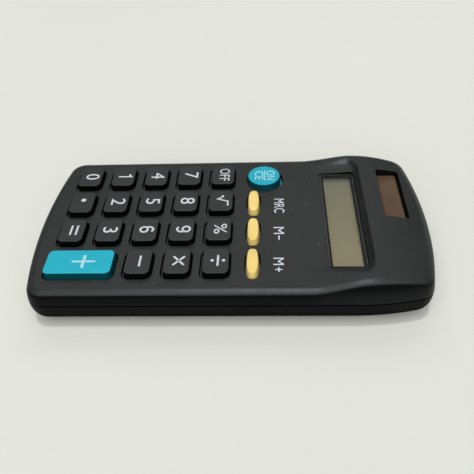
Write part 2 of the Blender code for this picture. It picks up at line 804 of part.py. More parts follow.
def build():
    surfaces = {
        "case": material("case_plastic", (0.045, 0.047, 0.048), 0.55),
        "black": material("key_black", (0.03, 0.031, 0.032), 0.5),
        "teal": material("key_teal", (0.05, 0.45, 0.58), 0.4),
        "yellow": material("key_yellow", (0.93, 0.72, 0.23), 0.45),
        "clear": material("clear_lens", (0.9, 0.92, 0.9), 0.05),
        "lcd": material("lcd_glass", (0.25, 0.24, 0.16), 0.2),
        "solar": material("solar_brown", (0.12, 0.07, 0.045), 0.25),
        "rubber": material("grey_rubber", (0.35, 0.35, 0.36), 0.7),
        "board": material("board_green", (0.05, 0.22, 0.1), 0.5),
        "resin": material("black_resin", (0.01, 0.01, 0.01), 0.3),
        "tin": material("tinned_steel", (0.7, 0.7, 0.7), 0.3, 1.0),
        "glass": material("diode_glass", (0.6, 0.2, 0.1), 0.2),
        "cell": material("cell_label", (0.2, 0.22, 0.5), 0.35),
        "plus": material("wire_red", (0.6, 0.03, 0.03), 0.4),
        "minus": material("wire_black", (0.02, 0.02, 0.02), 0.4),
    }
    upper_case(surfaces["case"])
    lower_case(surfaces["case"])
    battery_door(surfaces["case"])
    add_keys(surfaces)
    key_mat(surfaces["rubber"])
    circuit_board(surfaces["board"])
    board_parts(surfaces)
    display_parts(surfaces)
    battery_parts(surfaces)
    add_wires(surfaces)
    add_screws(surfaces["tin"])


clear_scene()
PARTS = new_collection("pocket_calculator")
CUTTERS = new_collection("pocket_calculator_cutters")
build()
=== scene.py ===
"""The looks of a pocket calculator: fine moulded shapes, printed legends and procedural finishes.

Shapes are worked out in millimetres and scaled to metres when their meshes are made.
"""

import math

import bmesh
import bpy
from mathutils import Matrix, Vector


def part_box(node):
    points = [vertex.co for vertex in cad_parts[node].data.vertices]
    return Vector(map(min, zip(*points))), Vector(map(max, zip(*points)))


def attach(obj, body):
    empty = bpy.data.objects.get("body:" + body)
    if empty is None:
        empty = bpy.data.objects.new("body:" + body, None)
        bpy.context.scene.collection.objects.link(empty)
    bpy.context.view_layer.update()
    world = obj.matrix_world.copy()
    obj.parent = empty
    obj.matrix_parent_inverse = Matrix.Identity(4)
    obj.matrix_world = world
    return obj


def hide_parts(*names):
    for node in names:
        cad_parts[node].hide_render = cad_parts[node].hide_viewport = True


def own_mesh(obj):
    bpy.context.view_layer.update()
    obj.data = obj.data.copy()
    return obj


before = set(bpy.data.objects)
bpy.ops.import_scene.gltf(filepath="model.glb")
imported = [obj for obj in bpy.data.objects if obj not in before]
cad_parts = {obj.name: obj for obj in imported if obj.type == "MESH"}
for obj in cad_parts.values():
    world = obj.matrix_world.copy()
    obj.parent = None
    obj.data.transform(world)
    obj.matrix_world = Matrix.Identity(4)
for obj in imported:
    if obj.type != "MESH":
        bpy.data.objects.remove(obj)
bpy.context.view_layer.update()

MM = 0.001


def box_of(node):
    """Lowest and highest corner of a CAD node, in millimetres."""
    low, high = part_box(node)
    return low / MM, high / MM


def middle_of(node):
    low, high = box_of(node)
    return (low + high) / 2


# Case, seen from above
CASE_WIDTH = 2 * box_of("upper_case")[1].x
CASE_LENGTH = 2 * box_of("upper_case")[1].y
BOTTOM_ARC = 157
TOP_ARC = 115
CORNER = 5.5
LEAST_CORNER = 1.2
WAIST_ARC = 80
WAIST_START = 36

# Case, in section
SEAM_LOW = 8.8
SEAM_HIGH = 9.2
SEAM_EDGE = ((0.1, 0), (0.03, 0.03), (0, 0.1))
FACE = 13.7
WALL = 1.8
TOP_EDGE = ((0.4, 1.85), (0.49, 1.52), (0.61, 1.18), (0.78, 0.92), (1.0, 0.72), (1.3, 0.54))
TOP_EDGE += ((1.65, 0.38), (2.0, 0.24), (2.35, 0.11), (2.65, 0.01), (2.85, 0))
LOWER_ROUND = 7.4
LOWER_WALL = 2.9
FLOOR = 1.4
LIP_TOP = 10.1
LIP_INSET = 2.1
SIDE_INSET = 0.12
SIDE_FOOT = 10.3
FAR_ABOVE = 30

# The raised display end
HUMP_FOOT = 22.8
HUMP_TOP = 41
HUMP_RISE = 2.8
HUMP_FALL = 17.4
HUMP_LEAN = 0.3
GRID_START = 17.5
GRID_STEP = 0.6
GRID_COLUMNS = 96

# Display and solar cell windows: (middle x, middle y, width, depth)
DISH = (-1.2, 31, 48.8, 21)
DISH_CORNER = 3
DISH_FLOOR = 14.3
DISH_SLOPE = 0.058
DISH_CURVE = 0.3
DISH_STRETCH = 0.57
DISH_SOFTNESS = 0.5
STEP = (0.15, 34.4, 45.4, 11.8)
STEP_CORNER = 1.5
STEP_FLOOR = 13.75
OPENING = (0.6, 34.6, 43.3, 9.4)
OPENING_CORNER = 1
POCKET = (0, 34.4, 46.8, 15)
POCKET_TOP = 13.25
LENS = (13.8, 14.15)
LENS_CORNER = 1.2
DISPLAY_FRAME = (0, 34.5, 50, 17.4)
DISPLAY_FRAME_FOOT = 11.2
# A black line painted on the lens where the opening's walls are in shade (painted shade): its inner
# and outer (x, y) ranges
SHADE_LINE = ((-20.5, 22.2), (29.95, 38.95))
SHADE_LINE_OUTSIDE = ((-21.5, 22.6), (29.5, 39.55))
SOLAR_OPENING = (-9.9, 50.5, 24.2, 6.0)
SOLAR_CORNER = 0.8
SOLAR_SLOPE = 1.8
SOLAR_FRAME = (-10.1, 51.1, 27.8, 10.2)
SOLAR_POCKET = (-10.1, 51.1, 27.4, 9.8)
SOLAR_FRAME_FOOT = 13.4
PANELS = (
    ("lcd_glass_pair", "lcd_panel", "lcd", 0.5),
    ("solar_cell_glass", "solar_cell", "solar", 0.2),
)

# Keys
KEY_CORNER = 1.7
KEY_DRAFT = 0.25
KEY_ROUND = 0.32
MEMORY_ROUND = 0.38
LEDGE_WIDTH = 0.42
LEDGE_TOP = 13.2
HOLE_SHIFT = {"black": Vector((-0.25, -0.33)), "disc": Vector((-0.1, 0.3)), "other": Vector((0, 0))}
KEY_GAP = 0.44
FLANGE_WIDTH = 0.45
FLANGE_HEIGHT = 1.1
OVAL_POWER = 3
OVAL_STEPS = 56

# Legends
DIGIT_HEIGHT = 4.6
DIGIT_STRETCH = 1.08
STROKE = 0.62
LEGEND_SHIFT = 0.55
PLUS_SHIFT = 1.35
SUNK = 0.05

# Rubber mat: a dome's outside, from its foot, and its hollow, as (radius, height)
MAT_TOP = 9.1
DOME = ((2.65, 9.12), (3.2, 9.12), (1.95, 9.98), (1.83, 10.06), (1.68, 10.1), (0, 10.1))
DOME_HOLLOW = ((0, 9.6), (1.0, 9.6))
PIN_ROWS = (-9.45, -43.65, 20)
PIN_COLUMN = 13.86
PIN_HOLE = 1.0
PIN_SHAPE = ((1.3, 5.9), (1.3, 6.6), (0.7, 6.7), (0.7, FACE - 1))

# Screws
SCREWS = [f"screw_{i}" for i in (1, 2, 3, 4)]
SCREW_HEAD = (1.7, 1.1)
SCREW_CORE = 0.55
SCREW_THREAD = 0.7
SCREW_PITCH = 0.8
SCREW_BOSS = 1.8
SCREW_HOLE = 1.0
SCREW_SINK = ((2.3, -1), (2.3, 0), (2.05, 0.12), (2.0, 0.3), (2.0, 2.8))

# Battery bay and door
BAY_RIB = ((-40, 42.6, -1), (40, 43.6, 8))
BAY_END = (25.8, 26.8, 43.1, 56)
BAY_END_TOP = 11
BAY_HALF = 24.3
DOOR_HALF = 24
DOOR_GAP = 0.3
RAIL = (22.7, 25.3, 46, 54)
GROOVES = (47.95, 49.55, 51.15)
CELL_NUB = 1.2
SPRING_WIRE = 0.22
SPRING_TURNS = 3
SPRING_STEPS = 96

# Studio: (direction, widening along Y, cosines where it starts and is full, brightness at those)
SKY = (
    ((0, 0, 1), 1, 0.0, 0.8, 0.06, 0.11),
    ((-0.62, 0.0, 0.785), 2.2, 0.93, 0.985, 0.0, 1.0),
    ((0.5, 0, 0.87), 1, 0.74, 0.93, 0.0, 1.85),
    ((0.9, 0, 0.44), 2.0, 0.82, 0.95, 0.0, 0.92),
)
SUN = 0.75
CAMERA_PLACE = (144.27, 11.94, 136.8)
CAMERA_TURN = (0.0742, 0.736, 0.06)
CAMERA_LENS = 45.5


# Outlines, anticlockwise from above


def arc(centre, radius, start, end, steps):
    """Points and outward normals along an arc, with both ends."""
    found = []
    for i in range(steps + 1):
        angle = start + (end - start) * i / steps
        normal = Vector((math.cos(angle), math.sin(angle)))
        found.append((Vector(centre) + radius * normal, normal))
    return found


def circles_meet(centre_a, radius_a, centre_b, radius_b):
    """The meeting point of two circles that is furthest to +X."""
    between = centre_b - centre_a
    apart = between.length
    along = (apart**2 + radius_a**2 - radius_b**2) / (2 * apart)
    aside = math.sqrt(radius_a**2 - along**2)
    across = Vector((between.y, -between.x)) / apart
    foot = centre_a + between / apart * along
    return max((foot + across * aside, foot - across * aside), key=lambda point: point.x)


def angle_of(vector):
    return math.atan2(vector.y, vector.x)


def case_side(inset, fine=True):
    """Points and normals up the right-hand side of the case, from its bottom end to its top end."""
    half_width = CASE_WIDTH / 2
    low = Vector((0, BOTTOM_ARC - CASE_LENGTH / 2))
    high = Vector((0, CASE_LENGTH / 2 - TOP_ARC))
    waist = Vector((half_width - WAIST_ARC, WAIST_START))
    half_width -= inset
    low_radius, high_radius, waist_radius = (r - inset for r in (BOTTOM_ARC, TOP_ARC, WAIST_ARC))
    turn_radius = max(CORNER - inset, LEAST_CORNER)
    corner_x = half_width - turn_radius
    corner_drop = math.sqrt((low_radius - turn_radius) ** 2 - corner_x**2)
    low_corner = Vector((corner_x, low.y - corner_drop))
    high_corner = circles_meet(waist, waist_radius - turn_radius, high, high_radius - turn_radius)
    low_turn = angle_of(low_corner - low)
    waist_turn = angle_of(high_corner - waist)
    high_turn = angle_of(high_corner - high)
    detail = 3 if fine else 1
    side = arc(low, low_radius, -math.pi / 2, low_turn, 6 * detail)
    side += arc(low_corner, turn_radius, low_turn, 0, 5 * detail)[1:]
    rows = round((WAIST_START - GRID_START) / GRID_STEP) if fine else 4
    for i in range(rows):
        y = GRID_START + (WAIST_START - GRID_START) * i / rows
        side.append((Vector((half_width, y)), Vector((1, 0))))
    side += arc(waist, waist_radius, 0, waist_turn, 11 * detail)
    side += arc(high_corner, turn_radius, waist_turn, high_turn, 5 * detail)[1:]
    side += arc(high, high_radius, high_turn, math.pi / 2, 6 * detail)[1:]
    return side


def hump(y):
    """How far the display end rises above the keypad."""
    if y <= HUMP_FOOT:
        return 0
    if y >= HUMP_TOP:
        return HUMP_RISE * (1 - ((y - HUMP_TOP) / HUMP_FALL) ** 2)
    share = (y - HUMP_FOOT) / (HUMP_TOP - HUMP_FOOT)
    return HUMP_RISE * share**2 * (3 - 2 * share)


def mirrored(right):
    """A closed ring from its right-hand half."""
    return right + [Vector((-p.x, p.y, p.z)) for p in reversed(right[1:-1])]


def case_ring(inset, height, lean=0.0, fine=True):
    """The case's outline moved in by inset, and further on the raised end, at height(y)."""
    right = []
    for point, normal in case_side(inset, fine):
        moved = point - normal * lean * max(hump(point.y), 0)
        right.append(Vector((moved.x, moved.y, height(moved.y))))
    return mirrored(right)


def upper_ring(inset, below_top, fine=True):
    return case_ring(inset, lambda y: FACE + hump(y) - below_top, HUMP_LEAN, fine)


def flat_ring(inset, height, fine=True):
    return case_ring(inset, lambda y: height, 0, fine)


def rounded_rectangle(width, depth, radius, steps=8):
    points = []
    for turn, (sx, sy) in enumerate(((1, -1), (1, 1), (-1, 1), (-1, -1))):
        centre = (sx * (width / 2 - radius), sy * (depth / 2 - radius))
        start = math.pi / 2 * (turn - 1)
        points += [p for p, _ in arc(centre, radius, start, start + math.pi / 2, steps)]
    return points


def grown_rectangle(width, depth, corner):
    """The function that gives a rounded rectangle grown by a margin."""
    return lambda grown: rounded_rectangle(width + 2 * grown, depth + 2 * grown, corner + grown)


def oval(width, depth):
    """A superellipse, a little squarer than an ellipse."""
    points = []
    for i in range(OVAL_STEPS):
        angle = 2 * math.pi * i / OVAL_STEPS
        c, s = math.cos(angle), math.sin(angle)
        x = width / 2 * math.copysign(abs(c) ** (2 / OVAL_POWER), c)
        y = depth / 2 * math.copysign(abs(s) ** (2 / OVAL_POWER), s)
        points.append(Vector((x, y)))
    return points


def circle(radius, steps=72):
    return [p for p, _ in arc((0, 0), radius, 0, 2 * math.pi, steps)[:-1]]


def lifted(outline, height, place=(0, 0)):
    return [Vector((p.x + place[0], p.y + place[1], height)) for p in outline]


def quarter_turn(steps):
    """Shares (in, up) along a rounded edge, from its foot to its top."""
    for i in range(steps + 1):
        angle = math.pi / 2 * i / steps
        yield 1 - math.cos(angle), math.sin(angle)


# Meshes


def linked(name, data):
    obj = bpy.data.objects.new(name, data)
    bpy.context.scene.collection.objects.link(obj)
    return obj


def add_object(name, bm, surface=None):
    """A visible piece from a mesh in millimetres, or a cutter if there is no material."""
    mesh = bpy.data.meshes.new(name)
    bmesh.ops.recalc_face_normals(bm, faces=bm.faces)
    bm.to_mesh(mesh)
    bm.free()
    mesh.transform(Matrix.Scale(MM, 4))
    obj = linked(name, mesh)
    if surface is None:
        obj.hide_render = True
        return obj
    mesh.materials.append(surface)
    shade(obj)
    return obj


def shade(obj, crease=35):
    obj.data.shade_smooth()
    obj.data.set_sharp_from_angle(angle=math.radians(crease))
    if "shade" not in obj.modifiers:
        modifier = obj.modifiers.new("shade", "WEIGHTED_NORMAL")
        modifier.keep_sharp = True
        modifier.weight = 60


def loft_into(bm, rings, cap_top=True):
    """A solid through rings with the same number of points, from the bottom one up."""
    verts = [[bm.verts.new(point) for point in ring] for ring in rings]
    count = len(rings[0])
    for low, high in zip(verts, verts[1:]):
        for i in range(count):
            j = (i + 1) % count
            bm.faces.new((low[i], low[j], high[j], high[i]))
    bm.faces.new(list(reversed(verts[0])))
    if cap_top:
        bm.faces.new(verts[-1])
    return verts[-1]


def loft(*solids):
    bm = bmesh.new()
    for rings in solids:
        loft_into(bm, rings)
    return bm


def ladder(bm, top):
    """Closes a curved ring with strips across from its right side to its left."""
    for i in range(len(top) // 2):
        strip = [top[i], top[i + 1], top[-(i + 1)], top[-i]]
        bm.faces.new(list(dict.fromkeys(strip)))


def block(low, high, bm=None):
    bm = bm or bmesh.new()
    size = Vector(high) - Vector(low)
    middle = (Vector(high) + Vector(low)) / 2
    matrix = Matrix.Translation(middle) @ Matrix.Diagonal((*size, 1))
    bmesh.ops.create_cube(bm, size=1, matrix=matrix)
    return bm


def both_sides(inner, outer, front, back, foot, top):
    """Two blocks from the inner to the outer distance left and right of the middle."""
    blocks = block((-outer, front, foot), (-inner, back, top))
    return block((inner, front, foot), (outer, back, top), blocks)


def window_block(window, foot, top):
    x, y, width, depth = window
    return block((x - width / 2, y - depth / 2, foot), (x + width / 2, y + depth / 2, top))


def pillars(places, profile, steps=32):
    """A round solid at each place, through (radius, height) pairs from the bottom up."""
    solids = []
    for place in places:
        solids.append([lifted(circle(radius, steps), height, place) for radius, height in profile])
    return loft(*solids)


def posts(places, radius, foot, top):
    return pillars(places, ((radius, foot), (radius, top)))


def turned(profile, steps, matrix):
    """A closed shape turned about Z from (radius, height) points that start and end on it."""
    bm = bmesh.new()
    rings = []
    for radius, height in profile:
        if radius == 0:
            rings.append([bm.verts.new((0, 0, height))])
            continue
        rings.append([bm.verts.new((p.x, p.y, height)) for p in circle(radius, steps)])
    for a, b in zip(rings, rings[1:]):
        for i in range(steps):
            j = (i + 1) % steps
            corners = [a[i % len(a)], a[j % len(a)], b[j % len(b)], b[i % len(b)]]
            bm.faces.new(list(dict.fromkeys(corners)))
    bmesh.ops.transform(bm, matrix=matrix, verts=bm.verts)
    return bm


def carve(obj, *cuts):
    """Cuts each bmesh out in turn, or joins one given as ("UNION", bmesh), and keeps the result."""
    helpers = []
    for cut in cuts:
        operation, bm = cut if isinstance(cut, tuple) else ("DIFFERENCE", cut)
        helper = add_object("helper", bm)
        helpers.append(helper)
        modifier = obj.modifiers.new("carve", "BOOLEAN")
        modifier.object = helper
        modifier.operation = operation
        modifier.solver = "EXACT"
    shaded = obj.modifiers.get("shade")
    if shaded:
        obj.modifiers.remove(shaded)
    bpy.context.view_layer.update()
    graph = bpy.context.evaluated_depsgraph_get()
    mesh = bpy.data.meshes.new_from_object(obj.evaluated_get(graph))
    obj.modifiers.clear()
    old = obj.data
    obj.data = mesh
    bpy.data.meshes.remove(old)
    for helper in helpers:
        bpy.data.meshes.remove(helper.data)
    if not obj.hide_render:
        shade(obj)
    return obj


def mesh_of(obj):
    """The object's mesh as a bmesh in millimetres. The object is removed."""
    bm = bmesh.new()
    bm.from_mesh(obj.data)
    bmesh.ops.scale(bm, vec=(1 / MM,) * 3, verts=bm.verts)
    bpy.data.meshes.remove(obj.data)
    return bm


def put(obj, body, slot, *replaced):
    """The piece moves with the body and stands for the CAD nodes. The slot is not used."""
    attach(obj, body)
    if replaced:
        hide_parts(*replaced)
    return obj


# Finishes


def tint(colour, factor):
    return (*(channel * factor for channel in colour), 1)


class Nodes:
    """A node tree being put together."""

    def __init__(self, tree):
        self.tree = tree

    def add(self, kind, inputs=None, **settings):
        node = self.tree.nodes.new(f"ShaderNode{kind}")
        for key, value in settings.items():
            setattr(node, key, value)
        for key, value in (inputs or {}).items():
            if isinstance(value, bpy.types.NodeSocket):
                self.tree.links.new(value, node.inputs[key])
            else:
                node.inputs[key].default_value = value
        return node

    def first(self, kind, inputs=None, **settings):
        return self.add(kind, inputs, **settings).outputs[0]

    def math(self, operation, a, b=0.0, clamp=False):
        return self.first("Math", {0: a, 1: b}, operation=operation, use_clamp=clamp)

    def plus(self, a, b):
        return self.math("ADD", a, b)

    def times(self, a, b):
        return self.math("MULTIPLY", a, b)

    def vector(self, operation, a, b=(0, 0, 0)):
        return self.add("VectorMath", {0: a, 1: b}, operation=operation)

    def spread(self, value, low, high, to_low=0.0, to_high=1.0):
        """Maps low..high to to_low..to_high and holds it beyond them."""
        inputs = {0: value, 1: low, 2: high, 3: to_low, 4: to_high}
        return self.first("MapRange", inputs, clamp=True)


class Finish(Nodes):
    """A procedural material in the object's own coordinates, in metres."""

    def __init__(self, name):
        self.material = bpy.data.materials.new(name)
        self.material.use_nodes = True
        super().__init__(self.material.node_tree)
        self.tree.nodes.clear()
        self.output = self.add("OutputMaterial")
        self.place = self.add("TexCoord").outputs["Object"]

    def noise(self, scale, detail, stretch=None):
        place = self.place
        if stretch:
            place = self.first("Mapping", {"Vector": place, "Scale": stretch})
        return self.first("TexNoise", {"Vector": place, "Scale": scale, "Detail": detail})

    def patchy(self, noise, low=0.0, high=1.0):
        """A noise's usual range stretched to low..high."""
        return self.spread(noise, 0.3, 0.7, low, high)

    def mix(self, share, a, b):
        return self.add("Mix", {0: share, 6: a, 7: b}, data_type="RGBA").outputs[2]

    def mottled(self, noise, colour, low, high):
        """The colour, darker and lighter where the noise is."""
        return self.mix(self.patchy(noise), tint(colour, low), tint(colour, high))

    def waves(self, scale, axis):
        inputs = {"Vector": self.place, "Scale": scale}
        return self.add("TexWave", inputs, bands_direction=axis).outputs[1]

    def part(self, axis):
        return self.add("SeparateXYZ", {0: self.place}).outputs[axis]

    def edges(self, radius, gain):
        """1 on outer and inner edges, 0 on open faces."""
        rounded = self.first("Bevel", {"Radius": radius * MM}, samples=6)
        normal = self.add("NewGeometry").outputs["Normal"]
        dot = self.vector("DOT_PRODUCT", rounded, normal).outputs["Value"]
        return self.math("MULTIPLY", self.math("SUBTRACT", 1.0, dot), gain, clamp=True)

    def upright(self, low, high, to_low):
        """Painted light and shade by facing: 1 on faces that look up, to_low on steep ones, twice
        that upright, less underneath.
        """
        normal = self.add("NewGeometry").outputs["Normal"]
        up = self.add("SeparateXYZ", {0: normal}).outputs["Z"]
        level = self.spread(up, low, high, to_low, 1.0)
        level = self.plus(level, self.spread(up, 0.03, 0.26, to_low, 0.0))
        return self.times(level, self.spread(up, -0.3, 0.12, 0.1))

    def shell_level(self, level):
        """Painted shade in the seam between the halves and painted light on the display end's tall
        wall.
        """
        height = self.part("Z")
        end = self.spread(self.part("Y"), 22 * MM, 36 * MM)
        end = self.times(end, self.spread(height, SEAM_HIGH * MM, (SEAM_HIGH + 0.2) * MM))
        # painted light: lifts the display end's tall wall, between 11.8 and 14 mm up
        wall = self.times(end, self.spread(height, 11.8 * MM, 14 * MM, 0.2, 0.0))
        level = self.plus(level, self.times(wall, self.math("SUBTRACT", 1.0, level)))
        # painted shade: darkens colour and sheen within the seam's height
        seam = self.math("ABSOLUTE", self.math("SUBTRACT", height, (SEAM_LOW + SEAM_HIGH) / 2 * MM))
        half = (SEAM_HIGH - SEAM_LOW) / 2
        return self.times(level, self.spread(seam, half * MM, (half + 0.08) * MM, 0.05, 1.0))

    def bump(self, height, strength, distance, normal=None):
        inputs = {"Height": height, "Strength": strength, "Distance": distance * MM}
        if normal:
            inputs["Normal"] = normal
        return self.first("Bump", inputs)

    def finished(self, shader):
        self.tree.links.new(shader, self.output.inputs[0])
        return self.material

    def surface(self, tone, sheen, normal, specular=0.5, **others):
        inputs = {"Base Color": tone, "Roughness": sheen, "Normal": normal}
        inputs["Specular IOR Level"] = specular
        inputs.update({key.replace("_", " "): value for key, value in others.items()})
        return self.finished(self.first("BsdfPrincipled", inputs))


def plastic(
    name, colour, roughness, worn, specular, dust=0.0, grain=0.5, glow=0.0, side=1.0, shell=False
):
    """Moulded plastic: fine grain, uneven sheen, hairline scuffs, worn edges and a little dust.

    Steep sides keep only a share of the top's colour and sheen, and faces that look down keep less
    still: painted shade.
    """
    f = Finish(name)
    cloud = f.noise(260, 4)
    tone = f.mottled(f.noise(38, 3), colour, 0.9, 1.1)
    tone = f.mix(f.spread(cloud, 0.35, 0.75, 0, 0.5), tone, tint(colour, 1.25))
    scuff = f.spread(f.noise(160, 5, (1, 14, 1)), 0.66, 0.72)
    tone = f.mix(f.times(scuff, 0.12), tone, tint(worn, 1))
    edge = f.times(f.edges(0.3, 3.0), f.spread(f.noise(900, 3), 0.35, 0.65, 0.25, 1))
    tone = f.mix(f.times(edge, 0.35), tone, tint(worn, 1))
    if dust:
        speck = f.spread(f.noise(1700, 0), 0.865, 0.875)
        tone = f.mix(f.times(speck, dust), tone, (0.4, 0.4, 0.38, 1))
    # side is the share of colour and sheen kept on steep faces: painted shade by facing
    if side < 1:
        level = f.upright(0.5, 0.87, side)
        # shell adds painted shade in the seam and painted light on the display end's tall wall
        if shell:
            level = f.shell_level(level)
        tone = f.mix(level, (0, 0, 0, 1), tone)
        specular = f.times(level, specular)
    sheen = f.patchy(cloud, roughness - 0.04, roughness + 0.05)
    sheen = f.math("SUBTRACT", sheen, f.times(scuff, 0.08))
    normal = f.bump(f.noise(3400, 2), 0.35 * grain, 0.02)
    normal = f.bump(cloud, 0.12 * grain, 0.05, normal)
    return f.surface(
        tone,
        sheen,
        normal,
        specular,
        Specular_Tint=(0.91, 0.99, 1, 1),
        Subsurface_Weight=glow,
        Subsurface_Scale=0.6 * MM,
    )


def paint(name, colour):
    """Printed or filled lettering, thin in places."""
    f = Finish(name)
    patch = f.noise(1500, 3)
    tone = f.mottled(patch, colour, 0.86, 1.02)
    normal = f.bump(f.noise(6000, 2), 0.2, 0.01)
    return f.surface(tone, f.patchy(patch, 0.45, 0.6), normal, 0.3)


def metal(name, colour, roughness):
    """Bright metal with fine brushing and dull patches."""
    f = Finish(name)
    brushing = f.noise(900, 3, (1, 1, 9))
    tone = f.mix(f.spread(f.noise(420, 4), 0.4, 0.7), tint(colour, 1), tint(colour, 0.72))
    sheen = f.patchy(brushing, roughness - 0.08, roughness + 0.12)
    return f.surface(tone, sheen, f.bump(brushing, 0.2, 0.01), Metallic=1.0)


def lens_finish(name):
    """A thin clear window which mirrors at glancing angles, with a black line painted around the
    display where the opening's walls are in shade: painted shade.
    """
    f = Finish(name)
    smear = f.noise(90, 4)
    dust = f.spread(f.noise(1500, 0), 0.8, 0.83)
    normal = f.bump(smear, 0.05, 0.02)
    facing = f.first("Fresnel", {"IOR": 1.45, "Normal": normal})
    mirror = f.plus(f.times(facing, 0.6), f.times(dust, 0.1))
    inside = f.add("NewGeometry").outputs["Backfacing"]
    mirror = f.times(mirror, f.math("SUBTRACT", 1.0, inside))
    sheen = f.patchy(smear, 0.08, 0.16)
    clear = f.first("BsdfTransparent", {0: (0.93, 0.95, 0.92, 1)})
    gloss = f.first("BsdfGlossy", {"Roughness": sheen, "Normal": normal})
    mixed = f.first("MixShader", {0: mirror, 1: clear, 2: gloss})

    def outside(ranges):
        total = 0.0
        for axis, (low, high) in zip("XY", ranges):
            along = f.part(axis)
            total = f.plus(total, f.spread(along, (low - 0.05) * MM, low * MM, 1, 0))
            total = f.math("ADD", total, f.spread(along, high * MM, (high + 0.05) * MM), clamp=True)
        return total

    # painted shade: a near-black line around the display where the opening's walls are in shade
    painted_shade_line = f.math("SUBTRACT", outside(SHADE_LINE), outside(SHADE_LINE_OUTSIDE), clamp=True)
    ink = f.mix(f.noise(1200, 2), (0.004, 0.004, 0.005, 1), (0.007, 0.007, 0.008, 1))
    inputs = {"Base Color": ink, "Roughness": sheen, "Specular IOR Level": 0.1}
    ink = f.first("BsdfPrincipled", inputs)
    return f.finished(f.first("MixShader", {0: painted_shade_line, 1: mixed, 2: ink}))


def panel_finish(name, colour):
    """A blank liquid-crystal panel with its faint cell grid, and painted shadow of the window's far
    wall: darkest at the far end, fading towards the near end.
    """
    f = Finish(name)
    along = f.part("X")
    grid = f.times(f.waves(260, "X"), f.waves(260, "Y"))
    tone = f.mottled(f.noise(70, 3), colour, 0.94, 1.06)
    tone = f.mix(f.spread(grid, 0.0, 1.0, 0, 0.05), tone, tint(colour, 0.6))
    # painted shadow: the window's far wall shades the far end, and a painted shade fades across the
    # panel towards the near end
    end = f.spread(along, -0.0212, -0.0178, 0.55, 0.0)
    end = f.plus(end, f.spread(along, -0.018, 0.02, 0.5, 0.0))
    tone = f.mix(end, tone, (0.11, 0.115, 0.1, 1))
    normal = f.bump(f.noise(2600, 2), 0.1, 0.01)
    sheen = f.patchy(f.noise(300, 3), 0.32, 0.42)
    return f.surface(tone, sheen, normal, 0.4)


def solar_finish(name, colour):
    """Brown amorphous silicon under glass, in fine strips."""
    f = Finish(name)
    tone = f.mottled(f.noise(120, 4), colour, 0.85, 1.2)
    tone = f.mix(f.spread(f.waves(160, "X"), 0.0, 0.2, 0.2, 0.0), tone, tint(colour, 0.6))
    normal = f.bump(f.noise(900, 2), 0.08, 0.02)
    sheen = f.patchy(f.noise(500, 3), 0.2, 0.3)
    return f.surface(tone, sheen, normal, 0.12)


def board_finish(name):
    """Green solder mask over copper tracks, with tinned pads."""
    f = Finish(name)
    tracks = f.add("TexBrick", {"Vector": f.place, "Scale": 180, "Mortar Size": 0.03})
    track = f.spread(tracks.outputs["Fac"], 0.4, 0.6)
    pads = f.first("TexVoronoi", {"Vector": f.place, "Scale": 260})
    pad = f.spread(pads, 0.1, 0.14, 1, 0)
    tone = f.mix(track, (0.02, 0.13, 0.05, 1), (0.05, 0.26, 0.09, 1))
    tone = f.mix(pad, tone, (0.6, 0.58, 0.52, 1))
    normal = f.bump(f.plus(track, pad), 0.4, 0.03)
    sheen = f.patchy(f.noise(800, 3), 0.3, 0.45)
    return f.surface(tone, sheen, normal, Metallic=f.times(pad, 0.9))


def cell_finish(name):
    """A printed battery sleeve in two colours, with steel showing at both ends."""
    f = Finish(name)
    along = f.part("X")
    band = f.spread(along, 0.0098, 0.0102)
    steel = f.spread(f.math("ABSOLUTE", f.plus(along, 0.0006)), 0.0211, 0.0213)
    ink = f.noise(700, 3)
    tone = f.mix(band, (0.02, 0.05, 0.24, 1), (0.68, 0.42, 0.1, 1))
    tone = f.mix(f.spread(ink, 0.35, 0.7, 0, 0.35), tone, (0.3, 0.3, 0.34, 1))
    tone = f.mix(steel, tone, (0.62, 0.61, 0.58, 1))
    normal = f.bump(f.noise(900, 2), 0.15, 0.02)
    return f.surface(tone, f.patchy(ink, 0.22, 0.36), normal, Metallic=steel, Coat_Weight=0.3)


